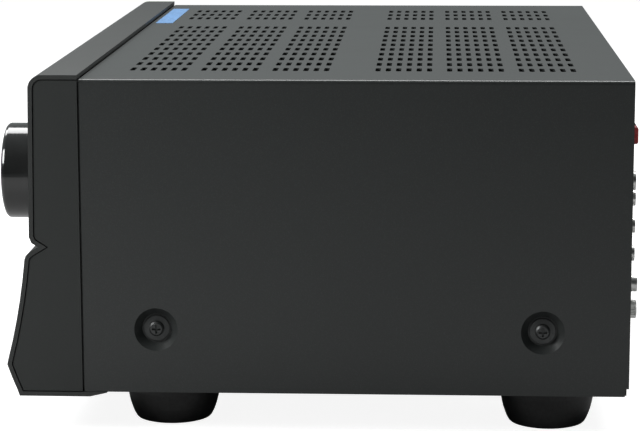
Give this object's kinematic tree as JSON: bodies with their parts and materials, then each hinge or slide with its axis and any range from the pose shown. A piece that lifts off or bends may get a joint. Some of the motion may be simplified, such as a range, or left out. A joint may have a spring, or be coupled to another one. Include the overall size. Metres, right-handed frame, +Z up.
{
  "type": "stereo receiver",
  "caption": "Full-width stereo receiver: slotted sheet-metal case on four feet, flared fascia with knobs, keys and display, rear sockets and speaker posts.",
  "frame": {"origin": "on the floor, under the middle of the whole box, knobs and terminals included", "axes": "+X to the right seen from the front, +Y to the rear, +Z up"},
  "size_m": [0.435, 0.334, 0.1833],
  "materials": {
    "cover_paint": "satin powder coat",
    "fascia_black": "satin black",
    "cheek_black": "matt moulded",
    "window_smoke": "smoked acrylic",
    "strip_blue": "plain blue film",
    "zinc_steel": "zinc plated",
    "panel_paint": "satin black",
    "foot_black": "moulded",
    "pad_felt": "soft",
    "screw_black": "black oxide",
    "screw_zinc": "zinc",
    "knob_black": "polished",
    "control_black": "polished",
    "shaft_steel": "turned",
    "part_zinc": "stamped",
    "board_green": "solder mask",
    "board_tan": "paper laminate",
    "tube_glass": "clear over dark",
    "jack_black": "moulded",
    "socket_nickel": "nickel",
    "insert_white": "moulded",
    "lever_red": "moulded",
    "lever_black": "moulded",
    "cap_red": "moulded",
    "cap_black": "moulded",
    "brass_gold": "plated",
    "sink_aluminium": "extruded",
    "capacitor_sleeve": "shrink sleeve",
    "core_steel": "varnished",
    "coil_tape": "polyester tape",
    "ribbon_grey": "flat cable",
    "lead_black": "sheath",
    "ic_black": "moulded"
  },
  "bodies": {
    "case": {"top_cover": "cover_paint", "front_panel": "fascia_black", "side_cheeks": "cheek_black", "display_window": "window_smoke", "label_strip": "strip_blue", "bottom_chassis": "zinc_steel", "front_subchassis": "panel_paint", "rear_panel": "panel_paint", "feet": "foot_black", "foot_pads": "pad_felt", "foot_screws": "screw_zinc", "cover_side_screws": "screw_black", "cover_rear_screws": "screw_black", "encoders": "part_zinc", "tone_board": "board_tan", "power_switch": "ic_black", "tact_switches": "ic_black", "display_board": "board_tan", "display_tube": "tube_glass", "headphone_jack": "jack_black", "socket_housings": "jack_black", "socket_shells": "socket_nickel", "socket_inserts": "insert_white", "input_board": "board_green", "coax_connector": "socket_nickel", "tuner_module": "part_zinc", "aerial_block": "jack_black", "ground_post": "socket_nickel", "remote_jack": "socket_nickel", "speaker_block": "jack_black", "speaker_posts": "brass_gold", "ac_inlet": "jack_black", "amplifier_board": "board_green", "supply_board": "board_tan", "heat_sink": "sink_aluminium", "power_transistors": "ic_black", "reservoir_capacitors": "capacitor_sleeve", "transformer_core": "core_steel", "transformer_coil": "coil_tape", "ribbon_cable": "ribbon_grey", "mains_lead": "lead_black"},
    "volume": {"volume_knob": "knob_black", "volume_shaft": "shaft_steel"},
    "selector": {"selector_knob": "knob_black", "selector_shaft": "shaft_steel"},
    "bass": {"bass_knob": "control_black"},
    "treble": {"treble_knob": "control_black"},
    "balance": {"balance_knob": "control_black"},
    "power": {"power_button": "control_black"},
    "key_1": {"input_button_1": "control_black"},
    "key_2": {"input_button_2": "control_black"},
    "key_3": {"input_button_3": "control_black"},
    "key_4": {"input_button_4": "control_black"},
    "red_lever": {"aerial_lever_red": "lever_red"},
    "black_lever": {"aerial_lever_black": "lever_black"},
    "thumb_nut": {"ground_nut": "socket_nickel"},
    "cap_1": {"speaker_cap_1": "cap_red"},
    "cap_2": {"speaker_cap_2": "cap_black"},
    "cap_3": {"speaker_cap_3": "cap_red"},
    "cap_4": {"speaker_cap_4": "cap_black"}
  },
  "joints": [
    {"name": "volume_turn", "type": "hinge", "parent": "case", "child": "volume", "pos_m": [0.16, -0.15, 0.1267], "axis": [0, 1, 0], "continuous": true},
    {"name": "selector_turn", "type": "hinge", "parent": "case", "child": "selector", "pos_m": [-0.16, -0.15, 0.1267], "axis": [0, 1, 0], "continuous": true},
    {"name": "bass_turn", "type": "hinge", "parent": "case", "child": "bass", "pos_m": [-0.06, -0.155, 0.066], "axis": [0, 1, 0], "range_deg": [-150, 150]},
    {"name": "treble_turn", "type": "hinge", "parent": "case", "child": "treble", "pos_m": [-0.022, -0.155, 0.066], "axis": [0, 1, 0], "range_deg": [-150, 150]},
    {"name": "balance_turn", "type": "hinge", "parent": "case", "child": "balance", "pos_m": [0.016, -0.155, 0.066], "axis": [0, 1, 0], "range_deg": [-150, 150]},
    {"name": "power_push", "type": "slide", "parent": "case", "child": "power", "axis": [0, 1, 0], "range_m": [0, 0.0025], "stiffness_N_per_m": 400, "springref_m": -0.0002},
    {"name": "key_1_push", "type": "slide", "parent": "case", "child": "key_1", "axis": [0, 1, 0], "range_m": [0, 0.0008], "stiffness_N_per_m": 900, "springref_m": -0.0002},
    {"name": "key_2_push", "type": "slide", "parent": "case", "child": "key_2", "axis": [0, 1, 0], "range_m": [0, 0.0008], "stiffness_N_per_m": 900, "springref_m": -0.0002},
    {"name": "key_3_push", "type": "slide", "parent": "case", "child": "key_3", "axis": [0, 1, 0], "range_m": [0, 0.0008], "stiffness_N_per_m": 900, "springref_m": -0.0002},
    {"name": "key_4_push", "type": "slide", "parent": "case", "child": "key_4", "axis": [0, 1, 0], "range_m": [0, 0.0008], "stiffness_N_per_m": 900, "springref_m": -0.0002},
    {"name": "red_lever_push", "type": "slide", "parent": "case", "child": "red_lever", "axis": [0, -1, 0], "range_m": [0, 0.002], "stiffness_N_per_m": 700, "springref_m": -0.0002},
    {"name": "black_lever_push", "type": "slide", "parent": "case", "child": "black_lever", "axis": [0, -1, 0], "range_m": [0, 0.002], "stiffness_N_per_m": 700, "springref_m": -0.0002},
    {"name": "thumb_nut_turn", "type": "hinge", "parent": "case", "child": "thumb_nut", "pos_m": [0.173, 0.157, 0.058], "axis": [0, 1, 0], "range_deg": [0, 810]},
    {"name": "cap_1_turn", "type": "hinge", "parent": "case", "child": "cap_1", "pos_m": [-0.072, 0.16, 0.062], "axis": [0, 1, 0], "range_deg": [0, 900]},
    {"name": "cap_2_turn", "type": "hinge", "parent": "case", "child": "cap_2", "pos_m": [-0.091, 0.16, 0.062], "axis": [0, 1, 0], "range_deg": [0, 900]},
    {"name": "cap_3_turn", "type": "hinge", "parent": "case", "child": "cap_3", "pos_m": [-0.11, 0.16, 0.062], "axis": [0, 1, 0], "range_deg": [0, 900]},
    {"name": "cap_4_turn", "type": "hinge", "parent": "case", "child": "cap_4", "pos_m": [-0.129, 0.16, 0.062], "axis": [0, 1, 0], "range_deg": [0, 900]}
  ]
}
